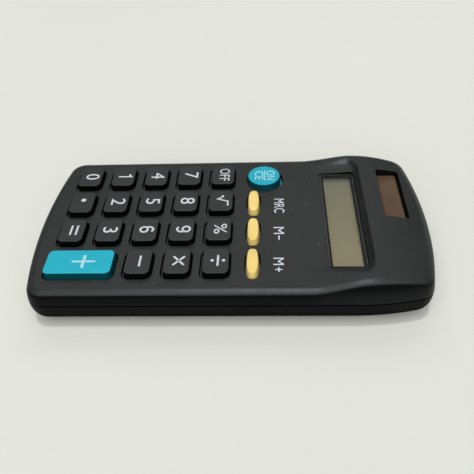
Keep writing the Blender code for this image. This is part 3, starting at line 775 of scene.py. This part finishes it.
def make_finishes():
    grey, yellow = (0.0225, 0.0238, 0.0245), (0.84, 0.63, 0.215)
    black, teal = (0.0265, 0.0275, 0.0285), (0.017, 0.38, 0.5)
    worn_grey, worn_black = (0.06, 0.062, 0.064), (0.06, 0.06, 0.065)
    worn_teal, worn_yellow = (0.1, 0.55, 0.66), (0.9, 0.76, 0.4)
    return {
        # side= sets the painted shade on steep faces; shell=True adds painted seam shade and
        # painted light on the display end's wall
        "case": plastic("case_plastic", grey, 0.37, worn_grey, 0.25, 0.5, side=0.125, shell=True),
        "black": plastic("black_key_plastic", black, 0.4, worn_black, 0.31, 0.3, side=0.05),
        "teal": plastic("teal_key_plastic", teal, 0.42, worn_teal, 0.2, 0, 0.3, 0.1, 0.09),
        "yellow": plastic("yellow_key_plastic", yellow, 0.45, worn_yellow, 0.2, 0, 0.3, 0.15),
        "lens": lens_finish("clear_lens"),
        "lcd": panel_finish("lcd_glass", (0.285, 0.229, 0.147)),
        "solar": solar_finish("solar_brown", (0.105, 0.064, 0.039)),
        "rubber": plastic("grey_rubber", (0.3, 0.3, 0.31), 0.7, (0.42, 0.42, 0.42), 0.3, 0.5, 1.0),
        "board": board_finish("board_green"),
        "resin": plastic("black_resin", (0.008, 0.008, 0.009), 0.28, (0.03, 0.03, 0.03), 0.5, 0.5),
        "tin": metal("tinned_steel", (0.62, 0.61, 0.58), 0.3),
        "diode": plastic("diode_glass", (0.5, 0.14, 0.05), 0.15, (0.6, 0.3, 0.2), 0.6),
        "cell": cell_finish("cell_label"),
        "red_wire": plastic("wire_red", (0.5, 0.02, 0.02), 0.4, (0.6, 0.1, 0.08), 0.5),
        "black_wire": plastic("wire_black", (0.015, 0.015, 0.015), 0.4, (0.05, 0.05, 0.05), 0.5),
        "white_print": paint("white_print", (0.65, 0.685, 0.735)),
        "pale_print": paint("pale_print", (0.43, 0.73, 0.83)),
    }


# Case


def outside_dish(x, y):
    """How far a place lies outside the dish's flat middle, with its ends drawn out."""
    middle_x, middle_y, width, depth = DISH
    across = abs(x - middle_x) - width / 2 + DISH_CORNER
    along = abs(y - middle_y) - depth / 2 + DISH_CORNER
    return math.hypot(DISH_STRETCH * max(across, 0), max(along, 0)) - 1


def dish_floor(y):
    return DISH_FLOOR + DISH_SLOPE * (y - DISH[1])


def top_height(x, y):
    """The case's top: flat at the keys, then raised, with the soft dish sunk into it."""
    plain = FACE + hump(y)
    away = max(outside_dish(x, y), 0)
    dish = dish_floor(y) + DISH_CURVE * away**2
    near = max(DISH_SOFTNESS - abs(plain - dish), 0) / DISH_SOFTNESS
    return min(plain, dish) - near**2 * DISH_SOFTNESS / 4


def case_top(bm, top):
    """Fills the upper case's last ring: one flat face for the keypad, a grid for the raised end."""
    half = len(top) // 2
    start = next(i for i in range(half) if top[i].co.y > GRID_START - 0.01)
    rows = []
    for i in range(start, half):
        right, left = top[i], top[-i]
        y = right.co.y
        row = [right]
        for column in range(1, GRID_COLUMNS):
            x = right.co.x * (1 - 2 * column / GRID_COLUMNS)
            row.append(bm.verts.new((x, y, top_height(x, y))))
        rows.append(row + [left])
    for low, high in zip(rows, rows[1:]):
        for i in range(GRID_COLUMNS):
            bm.faces.new((low[i], high[i], high[i + 1], low[i + 1]))
    last, apex = rows[-1], top[half]
    for i in range(GRID_COLUMNS):
        bm.faces.new((last[i], apex, last[i + 1]))
    keypad = [top[i] for i in range(-start, start + 1)]
    bm.faces.new(keypad + rows[0][1:-1])


def flush_cutter(outline, place, foot, top, soft, far_slope=0.0):
    """A hole's cutter that rounds the rim of the surface top(x, y) it comes up through."""

    def ring(grown, height):
        points = []
        for p in outline(grown):
            x, y = p.x + place[0], p.y + place[1]
            rise = height(x, y)
            if far_slope and p.y > 0:
                y += far_slope * (rise - foot) / (top(x, y) - foot)
            points.append(Vector((x, y, rise)))
        return points

    rings = [ring(0, lambda x, y: foot)]
    for inwards, up in quarter_turn(4):
        rings.append(ring(soft * inwards, lambda x, y, up=up: top(x, y) - soft * (1 - up)))
    rings.append(ring(soft, lambda x, y: top(x, y) + 4))
    return rings


def window_cutter(window, corner, foot, top, soft, far_slope=0.0):
    outline = grown_rectangle(*window[2:], corner)
    return loft(flush_cutter(outline, window[:2], foot, top, soft, far_slope))


def edge_rings():
    """The upper case from its seam to the start of its top."""
    rings = [flat_ring(inset, SEAM_HIGH + rise) for inset, rise in SEAM_EDGE]
    edge_inset, edge_drop = TOP_EDGE[0]
    for share in (0, 0.35, 0.7):

        def height(y, share=share):
            return SIDE_FOOT + (FACE + hump(y) - edge_drop - SIDE_FOOT) * share

        inset = SIDE_INSET + (edge_inset - SIDE_INSET) * share
        rings.append(case_ring(inset, height, HUMP_LEAN * share))
    return rings + [upper_ring(inset, drop) for inset, drop in TOP_EDGE]


def upper_cavity(bosses):
    bm = bmesh.new()
    rings = [
        flat_ring(WALL, SEAM_HIGH - 1, False),
        flat_ring(WALL, LIP_TOP + 0.3, False),
        upper_ring(WALL + 0.9, WALL, False),
    ]
    ladder(bm, loft_into(bm, rings, False))
    cavity = carve(
        add_object("helper", bm),
        window_block(DISPLAY_FRAME, DISPLAY_FRAME_FOOT, FAR_ABOVE),
        window_block(SOLAR_FRAME, SOLAR_FRAME_FOOT, FAR_ABOVE),
        posts(bosses, SCREW_BOSS, LIP_TOP + 0.3, FAR_ABOVE),
    )
    return mesh_of(cavity)


def upper_case(finish, keys, screws):
    bm = bmesh.new()
    case_top(bm, loft_into(bm, edge_rings(), False))
    holes = []
    for place, outline, shift in keys:
        opening = lambda grown, outline=outline: outline(KEY_DRAFT + KEY_GAP + grown)
        holes.append(flush_cutter(opening, place + shift, 10, lambda x, y: FACE, 0.18))
    pins = [(x, y) for y in PIN_ROWS for x in (-PIN_COLUMN, PIN_COLUMN)]
    return carve(
        add_object("upper_case_shell", bm, finish),
        upper_cavity(screws),
        window_cutter(STEP, STEP_CORNER, STEP_FLOOR, lambda x, y: dish_floor(y), 0.14),
        window_cutter(OPENING, OPENING_CORNER, 10, lambda x, y: STEP_FLOOR, 0.1),
        window_block(POCKET, 8, POCKET_TOP),
        window_cutter(SOLAR_OPENING, SOLAR_CORNER, 12, top_height, 0.2, SOLAR_SLOPE),
        window_block(SOLAR_POCKET, 8, SOLAR_FRAME_FOOT),
        loft(*holes),
        posts(screws, SCREW_HOLE, 9, 12.5),
        ("UNION", pillars(pins, PIN_SHAPE, 24)),
    )


def tray_rings(inset, corner, floor, top, steps, fine=True):
    """Levels of a tray with rounded lower edges."""
    rings = []
    for out, up in quarter_turn(steps):
        rings.append(flat_ring(inset + corner * (1 - up), floor + corner * out, fine))
    rings.append(flat_ring(inset, top, fine))
    return rings


def tray_outside():
    rings = tray_rings(0, LOWER_ROUND, 0, SEAM_LOW - SEAM_EDGE[-1][1] - 0.01, 12)
    rings += [flat_ring(inset, SEAM_LOW - drop) for inset, drop in reversed(SEAM_EDGE)]
    return loft(rings + [flat_ring(LIP_INSET, height) for height in (SEAM_LOW, LIP_TOP)])


def tray_cavity(screws):
    corner = LOWER_ROUND - LOWER_WALL
    inner, outer, front, back = BAY_END
    cavity = carve(
        add_object("helper", loft(tray_rings(LOWER_WALL, corner, FLOOR, 20, 6))),
        posts(screws, SCREW_BOSS, -1, 12.2),
        block(*BAY_RIB),
        both_sides(inner, outer, front, back, -1, BAY_END_TOP),
    )
    return mesh_of(cavity)


def lower_case(finish, screws):
    low, high = box_of("battery_door")
    inner, outer, front, back = RAIL
    bay = block((-BAY_HALF, low.y - DOOR_GAP, -1), (BAY_HALF, 70, high.z + DOOR_GAP))
    return carve(
        add_object("lower_case_shell", tray_outside(), finish),
        tray_cavity(screws),
        both_sides(inner - DOOR_GAP, outer + DOOR_GAP, front - DOOR_GAP, back + 20, 1.4, 2.9),
        bay,
        posts(screws, SCREW_HOLE, -1, 15),
        pillars(screws, SCREW_SINK),
    )


def battery_door(finish):
    low, high = box_of("battery_door")
    inner, outer, front, back = RAIL
    outline, wide = rounded_rectangle(10, 0.7, 0.33, 6), rounded_rectangle(10.3, 1.0, 0.48, 6)
    grooves = []
    for y in GROOVES:
        levels = ((wide, -1), (wide, 0), (outline, 0.3))
        grooves.append([lifted(shape, height, (0, y)) for shape, height in levels])
    return carve(
        add_object("battery_door_shell", tray_outside(), finish),
        ("INTERSECT", block((-DOOR_HALF, low.y, -1), (DOOR_HALF, 70, high.z))),
        loft(tray_rings(LOWER_WALL - 1, LOWER_ROUND - LOWER_WALL + 1, FLOOR, 20, 6)),
        ("UNION", both_sides(inner, DOOR_HALF, front, back, 0.9, 2.2)),
        ("UNION", both_sides(inner, outer, front, back, 1.7, 2.6)),
        loft(*grooves),
    )


# Keys


def key_shape(node):
    """A key's place, the function that gives its grown outline, and its hole's shift."""
    low, high = box_of(node)
    spread = 2 * (KEY_DRAFT + FLANGE_WIDTH)
    width, depth = high.x - low.x - spread, high.y - low.y - spread
    place = ((low + high) / 2).xy
    if "memory" in node:
        return place, lambda grown: oval(width + 2 * grown, depth + 2 * grown), HOLE_SHIFT["other"]
    if node == "key_on_clear":
        return place, lambda grown: circle(width / 2 + grown), HOLE_SHIFT["disc"]
    shift = HOLE_SHIFT["other" if node == "key_plus" else "black"]
    return place, grown_rectangle(width, depth, KEY_CORNER), shift


def key_cap(node, finish):
    low, high = box_of(node)
    place, outline, shift = key_shape(node)
    flange_top = low.z + FLANGE_HEIGHT
    memory = "memory" in node
    soft = MEMORY_ROUND if memory else KEY_ROUND
    flange = KEY_DRAFT + (0.1 if memory else FLANGE_WIDTH)
    rings = [lifted(outline(flange), height, place) for height in (low.z, flange_top)]
    if shift.length:
        ledge_top = LEDGE_TOP if shift.y < 0 else LEDGE_TOP - 0.7
        for inset, height in ((0, flange_top), (0, ledge_top - 0.1), (0.1, ledge_top)):
            rings.append(lifted(outline(LEDGE_WIDTH - inset), height, place + shift))
        rings.append(lifted(outline(KEY_DRAFT), ledge_top, place))
    rings.append(lifted(outline(KEY_DRAFT), FACE, place))
    for inwards, up in quarter_turn(6):
        rings.append(lifted(outline(-soft * inwards), high.z - soft * (1 - up), place))
    return add_object(f"{node}_cap", loft(rings), finish)


def rubber_mat(finish, nodes):
    """The rubber sheet, and under each key a hollow dome."""
    low, high = box_of("key_mat")
    places = [tuple(middle_of(node).xy) for node in nodes]
    pins = [(side * PIN_COLUMN, y) for y in PIN_ROWS[:2] for side in (-1, 1)]
    sheet = carve(
        add_object("key_mat_sheet", block(low, (high.x, high.y, MAT_TOP)), finish),
        posts(places, DOME[0][0], low.z - 1, MAT_TOP + 1),
        posts(pins, PIN_HOLE, low.z - 1, MAT_TOP + 1),
    )
    put(sheet, "case", "rubber", "key_mat")
    for node, (x, y) in zip(nodes, places):
        bm = turned(DOME_HOLLOW + DOME, 32, Matrix.Translation((x, y, 0)))
        dome = put(add_object(f"{node}_dome", bm, finish), "case", "rubber", "key_mat")
        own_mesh(dome)


# Lettering


def outlined_strokes(paths, weight):
    """Straight strokes as closed outlines with mitred joints."""
    outlines = []
    for path in paths:
        points = [Vector(p) for p in path]
        left, right = [], []
        for i, point in enumerate(points):
            before = (point - points[i - 1]).normalized() if i else None
            after = (points[i + 1] - point).normalized() if i + 1 < len(points) else None
            direction = ((before or after) + (after or before)).normalized()
            side = Vector((-direction.y, direction.x))
            ahead = after or before
            reach = weight / 2 / max(side.dot(Vector((-ahead.y, ahead.x))), 0.35)
            left.append(point + side * reach)
            right.append(point - side * reach)
        outlines.append(left + right[::-1])
    return outlines


def dot(centre, radius):
    return [p + Vector(centre) for p in circle(radius, 24)]


def six(turned=1):
    """A six with a round stem, or a nine when it is turned about."""

    def sweep(y, radius_y, start, end):
        unit = arc((0, 0), 1, math.radians(start), math.radians(end), 32)
        return [(turned * 1.2 * p.x, turned * (y + radius_y * p.y)) for p, _ in unit]

    return outlined_strokes([sweep(-0.85, 1.15, 0, 360), sweep(0.5, 1.5, 205, 42)], STROKE)


def printed(name, outlines, place, height, surface, thick=0.03):
    """Flat outlines printed on a face at a height."""
    levels = (height - SUNK, height + thick)
    solids = [[lifted(outline, level, place) for level in levels] for outline in outlines]
    obj = add_object(name, loft(*solids), surface)
    bevel = obj.modifiers.new("soft", "BEVEL")
    bevel.width = 0.02 * MM
    bevel.segments = 2
    return obj


def lettered(name, text, size, place, height, surface, thick=0.03):
    """Words or digits fitted to a size (width or None, cap height), printed on a face."""
    curve = bpy.data.curves.new(name, "FONT")
    curve.body = text
    curve.extrude = 0.01
    curve.resolution_u = 6
    helper = linked("helper", curve)
    bpy.context.view_layer.update()
    graph = bpy.context.evaluated_depsgraph_get()
    mesh = bpy.data.meshes.new_from_object(helper.evaluated_get(graph))
    bpy.data.objects.remove(helper)
    sides = list(zip(*(v.co for v in mesh.vertices)))
    low, high = Vector(map(min, sides)), Vector(map(max, sides))
    width, cap = size
    scale_y = cap / (high.y - low.y)
    scale_x = width / (high.x - low.x) if width else DIGIT_STRETCH * scale_y
    scale_z = (thick + SUNK) / (high.z - low.z)
    goal = Matrix.Translation((*place, height + (thick - SUNK) / 2))
    scaled = Matrix.Diagonal((scale_x, scale_y, scale_z, 1))
    mesh.transform(Matrix.Scale(MM, 4) @ goal @ scaled @ Matrix.Translation((low + high) / -2))
    mesh.name = name
    mesh.materials.clear()
    mesh.materials.append(surface)
    obj = linked(name, mesh)
    shade(obj, 30)
    return obj


def bars(reach, heights=(0,)):
    return [[(-reach, y), (reach, y)] for y in heights]


def key_legends(finishes):
    """White legends on every key but the yellow ones, and labels beside those."""
    white, pale = finishes["white_print"], finishes["pale_print"]
    bar = outlined_strokes(bars(2.2), STROKE)
    cross = [[(-1.8, -1.65), (1.8, 1.65)], [(-1.8, 1.65), (1.8, -1.65)]]
    root = [[(-2.6, -0.25), (-1.9, 0.1), (-0.7, -1.6), (0.5, 1.7), (2.7, 1.7)]]
    upright = [[(0, -3.5), (0, -0.45)], [(0, 0.45), (0, 3.5)]]
    drawn = {
        "key_1": outlined_strokes([[(-1.0, 1.2), (0.25, 2.05), (0.25, -2.35)]], STROKE),
        "key_point": [dot((-1.0, -0.3), 0.83)],
        "key_equals": outlined_strokes(bars(2.2, (0.88, -0.88)), STROKE),
        "key_minus": bar,
        "key_multiply": outlined_strokes(cross, STROKE),
        "key_divide": bar + [dot((0, y), 0.5) for y in (1.65, -1.65)],
        "key_root": outlined_strokes(root, 0.52),
        "key_6": six(),
        "key_9": six(-1),
        "key_plus": outlined_strokes(bars(2.6), 0.9) + outlined_strokes(upright, 0.7),
    }
    written = {"key_percent": ("%", (4.5, 4.0)), "key_off": ("OFF", (6.8, 3.45))}
    for number in (0, 2, 3, 4, 5, 7, 8):
        written[f"key_{number}"] = (str(number), (None, DIGIT_HEIGHT))
    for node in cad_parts:
        if node not in drawn and node not in written:
            continue
        x, y, _ = middle_of(node)
        top = box_of(node)[1].z
        name = f"{node}_legend"
        place = (x, y + (PLUS_SHIFT if node == "key_plus" else LEGEND_SHIFT))
        surface = pale if node == "key_plus" else white
        if node in drawn:
            put(printed(name, drawn[node], place, top, surface), node, None)
        else:
            put(lettered(name, *written[node], place, top, surface), node, None)
    x, y, _ = middle_of("key_on_clear")
    top = box_of("key_on_clear")[1].z
    bar = outlined_strokes(bars(2.8), 0.32)
    put(printed("on_clear_bar", bar, (x, y + 0.25), top, pale), "key_on_clear", None)
    for text, shift, width in (("ON", 2.2, 5.2), ("CE", -1.6, 4.7)):
        legend = lettered(f"on_clear_{text}", text, (width, 2.9), (x, y + shift), top, pale)
        put(legend, "key_on_clear", None)
    for node, text, name, shift_x, y, size in (
        ("key_memory_recall", "MRC", "label_recall", 0.8, 15.0, (7.1, 3.3)),
        ("key_memory_minus", "M", "label_minus", -1.0, 14.7, (3.2, 3.2)),
        ("key_memory_plus", "M", "label_plus", -1.3, 14.4, (3.0, 3.1)),
    ):
        x = middle_of(node).x + shift_x
        put(lettered(name, text, size, (x, y), FACE, white, 0.02), "case", None)
        if text == "M":
            strokes = bars(0.95)
            if name == "label_plus":
                strokes += [[(0, -1.05), (0, -0.2)], [(0, 0.2), (0, 1.05)]]
            outlines = outlined_strokes(strokes, 0.4)
            put(printed(f"{name}_sign", outlines, (x + 3.3, y), FACE, white, 0.02), "case", None)


# Windows, screws and battery


def display_window(finish):
    low, high = box_of("display_window")
    place = middle_of("display_window").xy
    outline = grown_rectangle(*(high - low).xy, LENS_CORNER)
    foot, top = LENS
    soft = 0.12
    rings = [lifted(outline(-soft), foot, place), lifted(outline(0), foot + soft, place)]
    for inwards, up in quarter_turn(4):
        rings.append(lifted(outline(-soft * inwards), top - soft * (1 - up), place))
    return add_object("display_lens", loft(rings), finish)


def layered_panel(name, node, finish, lower_finish, ledge):
    """A glass panel on a slightly larger lower glass, with ground edges."""
    low, high = box_of(node)
    width, depth = (high - low).xy
    split = middle_of(node).z
    levels = [(0.1, low.z), (0, low.z + 0.1), (0, split), (ledge, split)]
    levels += [(ledge, high.z - 0.08), (ledge + 0.08, high.z)]
    rings = []
    for inset, height in levels:
        outline = rounded_rectangle(width - 2 * inset, depth - 2 * inset, 0.4, 4)
        rings.append(lifted(outline, height, middle_of(node)))
    obj = add_object(name, loft(rings), finish)
    obj.data.materials.append(lower_finish)
    for polygon in obj.data.polygons:
        if polygon.center.z < (split + 0.001) * MM:
            polygon.material_index = 1
    return obj


def screw(node, finish):
    low, high = box_of(node)
    x, y, _ = middle_of(node)
    radius, head = SCREW_HEAD
    neck = low.z + head
    profile = [(0, low.z), (radius - 0.35, low.z), (radius - 0.08, low.z + 0.1)]
    profile += [(radius, low.z + 0.35), (radius, neck), (SCREW_THREAD, neck)]
    for i in range(int((high.z - neck - 1) / SCREW_PITCH)):
        z = neck + 0.3 + SCREW_PITCH * i
        profile += [(SCREW_CORE, z), (SCREW_THREAD, z + 0.3)]
        profile += [(SCREW_THREAD, z + 0.4), (SCREW_CORE, z + 0.7)]
    profile += [(0.45, high.z - 0.4), (0.12, high.z), (0, high.z)]
    bm = turned(profile, 32, Matrix.Translation((x, y, 0)))
    cross = []
    for a, b in ((1.0, 0.16), (0.16, 1.0)):
        cross.append(block((x - a, y - b, low.z - 1), (x + a, y + b, low.z + 0.65)))
    return carve(add_object(f"{node}_turned", bm, finish), *cross)


def battery_cell(finish):
    low, high = box_of("battery_cell")
    _, y, z = middle_of("battery_cell")
    radius = (high.z - low.z) / 2
    start, end = low.x, high.x - CELL_NUB
    profile = [(0, start), (3.4, start), (3.5, start + 0.12), (4.6, start + 0.12)]
    profile += [(radius - 0.15, start + 0.05), (radius, start + 0.3), (radius, end - 1.2)]
    profile += [(radius - 0.12, end - 0.9), (radius - 0.12, end - 0.5), (radius - 0.45, end - 0.05)]
    profile += [(radius - 0.9, end), (2.4, end), (2.2, end + 0.15), (1.9, end + 0.25)]
    profile += [(1.9, high.x - 0.2), (1.7, high.x), (0, high.x)]
    lying = Matrix.Translation((0, y, z)) @ Matrix.Rotation(math.pi / 2, 4, "Y")
    return add_object("battery_cell_sleeve", turned(profile, 56, lying), finish)


def battery_spring(finish):
    """A conical coil of round wire, from the contact plate to the cell."""
    low, high = box_of("battery_spring")
    middle = (low + high) / 2
    outer = (high.z - low.z) / 2 - SPRING_WIRE
    curve = bpy.data.curves.new("battery_spring_coil", "CURVE")
    curve.dimensions = "3D"
    curve.bevel_depth = SPRING_WIRE * MM
    curve.bevel_resolution = 4
    curve.use_fill_caps = True
    spline = curve.splines.new("POLY")
    spline.points.add(SPRING_STEPS)
    for i in range(SPRING_STEPS + 1):
        share = i / SPRING_STEPS
        angle = 2 * math.pi * SPRING_TURNS * share
        radius = outer - 1.1 * share
        x = low.x + SPRING_WIRE + (high.x - low.x - 2 * SPRING_WIRE) * share
        y = middle.y + radius * math.cos(angle)
        z = middle.z + radius * math.sin(angle)
        spline.points[i].co = (x * MM, y * MM, z * MM, 1)
    curve.materials.append(finish)
    return linked("battery_spring_coil", curve)


# Putting it together


def dress_inside(finishes):
    """The CAD shapes inside the case keep their forms and take procedural finishes."""
    dressed = {
        "rubber": ("lcd_connector",),
        "board": ("circuit_board",),
        "resin": ("chip_cover",),
        "tin": ("capacitor", "contact_minus", "contact_plus"),
        "diode": ("diode",),
        "red_wire": ("battery_wire_plus", "solar_wire_plus"),
        "black_wire": ("battery_wire_minus", "solar_wire_minus"),
    }
    for slot, nodes in dressed.items():
        for node in nodes:
            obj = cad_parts[node]
            for material_slot in obj.material_slots:
                material_slot.material = finishes[slot]


def build():
    finishes = make_finishes()
    screws = [tuple(middle_of(node).xy) for node in SCREWS]
    nodes = [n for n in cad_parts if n.startswith("key_") and n != "key_mat"]
    shapes = [key_shape(node) for node in nodes]
    put(upper_case(finishes["case"], shapes, screws), "case", "case", "upper_case")
    put(lower_case(finishes["case"], screws), "case", "case", "lower_case")
    put(battery_door(finishes["case"]), "battery_door", "case", "battery_door")
    for node in nodes:
        colour = "yellow" if "memory" in node else "black"
        if node in ("key_plus", "key_on_clear"):
            colour = "teal"
        put(key_cap(node, finishes[colour]), node, f"{colour}_key", node)
    key_legends(finishes)
    rubber_mat(finishes["rubber"], nodes)
    put(display_window(finishes["lens"]), "case", "lens", "display_window")
    for name, node, slot, ledge in PANELS:
        panel = layered_panel(name, node, finishes[slot], finishes["resin"], ledge)
        put(panel, "case", slot, node)
    for node in SCREWS:
        put(screw(node, finishes["tin"]), "case", "tin", node)
    put(battery_cell(finishes["cell"]), "case", "cell", "battery_cell")
    put(battery_spring(finishes["tin"]), "case", "tin", "battery_spring")
    dress_inside(finishes)


# Studio


def floor_finish():
    f = Finish("floor_paper")
    tone = f.mix(f.patchy(f.noise(6, 3)), (0.715, 0.72, 0.68, 1), (0.735, 0.74, 0.7, 1))
    normal = f.bump(f.noise(1800, 4), 0.03, 0.02)
    return f.surface(tone, 0.9, normal, 0.1)


def studio():
    bm = bmesh.new()
    bmesh.ops.create_grid(bm, x_segments=8, y_segments=8, size=4000)
    add_object("floor", bm, floor_finish())
    world = bpy.data.worlds.new("light_tent")
    bpy.context.scene.world = world
    world.use_nodes = True
    sky = Nodes(world.node_tree)
    place = sky.add("TexCoord").outputs["Generated"]
    total = 0.0
    for direction, wide, *levels in SKY:
        squeezed = sky.vector("MULTIPLY", place, (1, 1 / wide, 1)).outputs[0]
        unit = sky.vector("NORMALIZE", squeezed).outputs[0]
        facing = sky.vector("DOT_PRODUCT", unit, Vector(direction).normalized())
        total = sky.plus(total, sky.spread(facing.outputs["Value"], *levels))
    background = sky.tree.nodes["Background"]
    sky.tree.links.new(total, background.inputs["Strength"])
    background.inputs["Color"].default_value = (0.99, 1.0, 0.97, 1)
    lamp_data = bpy.data.lights.new("lamp", "SUN")
    lamp_data.energy = SUN
    lamp_data.angle = math.radians(4)
    lamp = linked("lamp", lamp_data)
    lamp.rotation_euler = Vector((0.02, 0, 1)).to_track_quat("Z", "Y").to_euler()


def camera():
    """The photo's viewing angle: from the right-hand side, 42 degrees up, turned and rolled."""
    yaw, pitch, roll = CAMERA_TURN
    level = Vector((-math.cos(yaw), -math.sin(yaw), 0))
    ahead = math.cos(pitch) * level - Vector((0, 0, math.sin(pitch)))
    right = Vector((-math.sin(yaw), math.cos(yaw), 0))
    down = ahead.cross(right)
    turned_right = math.cos(roll) * right + math.sin(roll) * down
    turned_down = math.cos(roll) * down - math.sin(roll) * right
    data = bpy.data.cameras.new("camera")
    data.lens = CAMERA_LENS
    data.clip_start = 0.01
    obj = linked("camera", data)
    axes = Matrix((turned_right, -turned_down, -ahead)).transposed()
    obj.matrix_world = Matrix.Translation(Vector(CAMERA_PLACE) * MM) @ axes.to_4x4()
    bpy.context.scene.camera = obj


build()
studio()
camera()
bpy.context.scene.view_settings.view_transform = "Standard"
